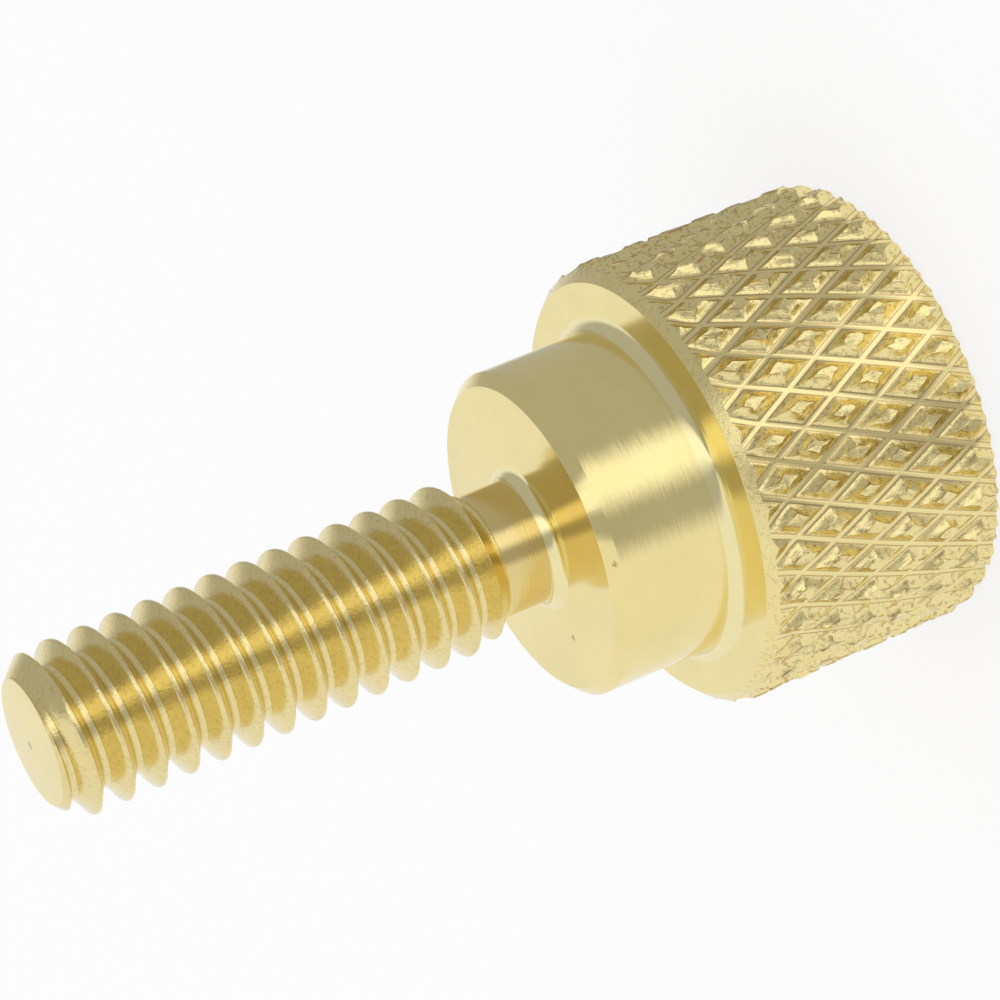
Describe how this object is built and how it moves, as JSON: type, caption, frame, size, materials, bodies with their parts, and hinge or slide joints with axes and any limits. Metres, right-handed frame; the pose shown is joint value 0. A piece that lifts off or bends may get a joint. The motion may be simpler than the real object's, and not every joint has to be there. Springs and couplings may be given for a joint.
{
  "type": "thumb screw",
  "caption": "Knurled-head brass thumb screw with a shouldered collar, undercut neck and threaded shank, tightened and loosened by hand.",
  "frame": {"origin": "centre of the flat back of the head, on which the screw stands", "axes": "+Z along the screw's axis, from the back of the head to the tip of the thread; the thread is right-handed about it"},
  "size_m": [0.0176, 0.0176, 0.0353],
  "materials": {
    "brass": "bright turned, unplated"
  },
  "bodies": {
    "root": {"thumb_screw": "brass"}
  },
  "joints": []
}
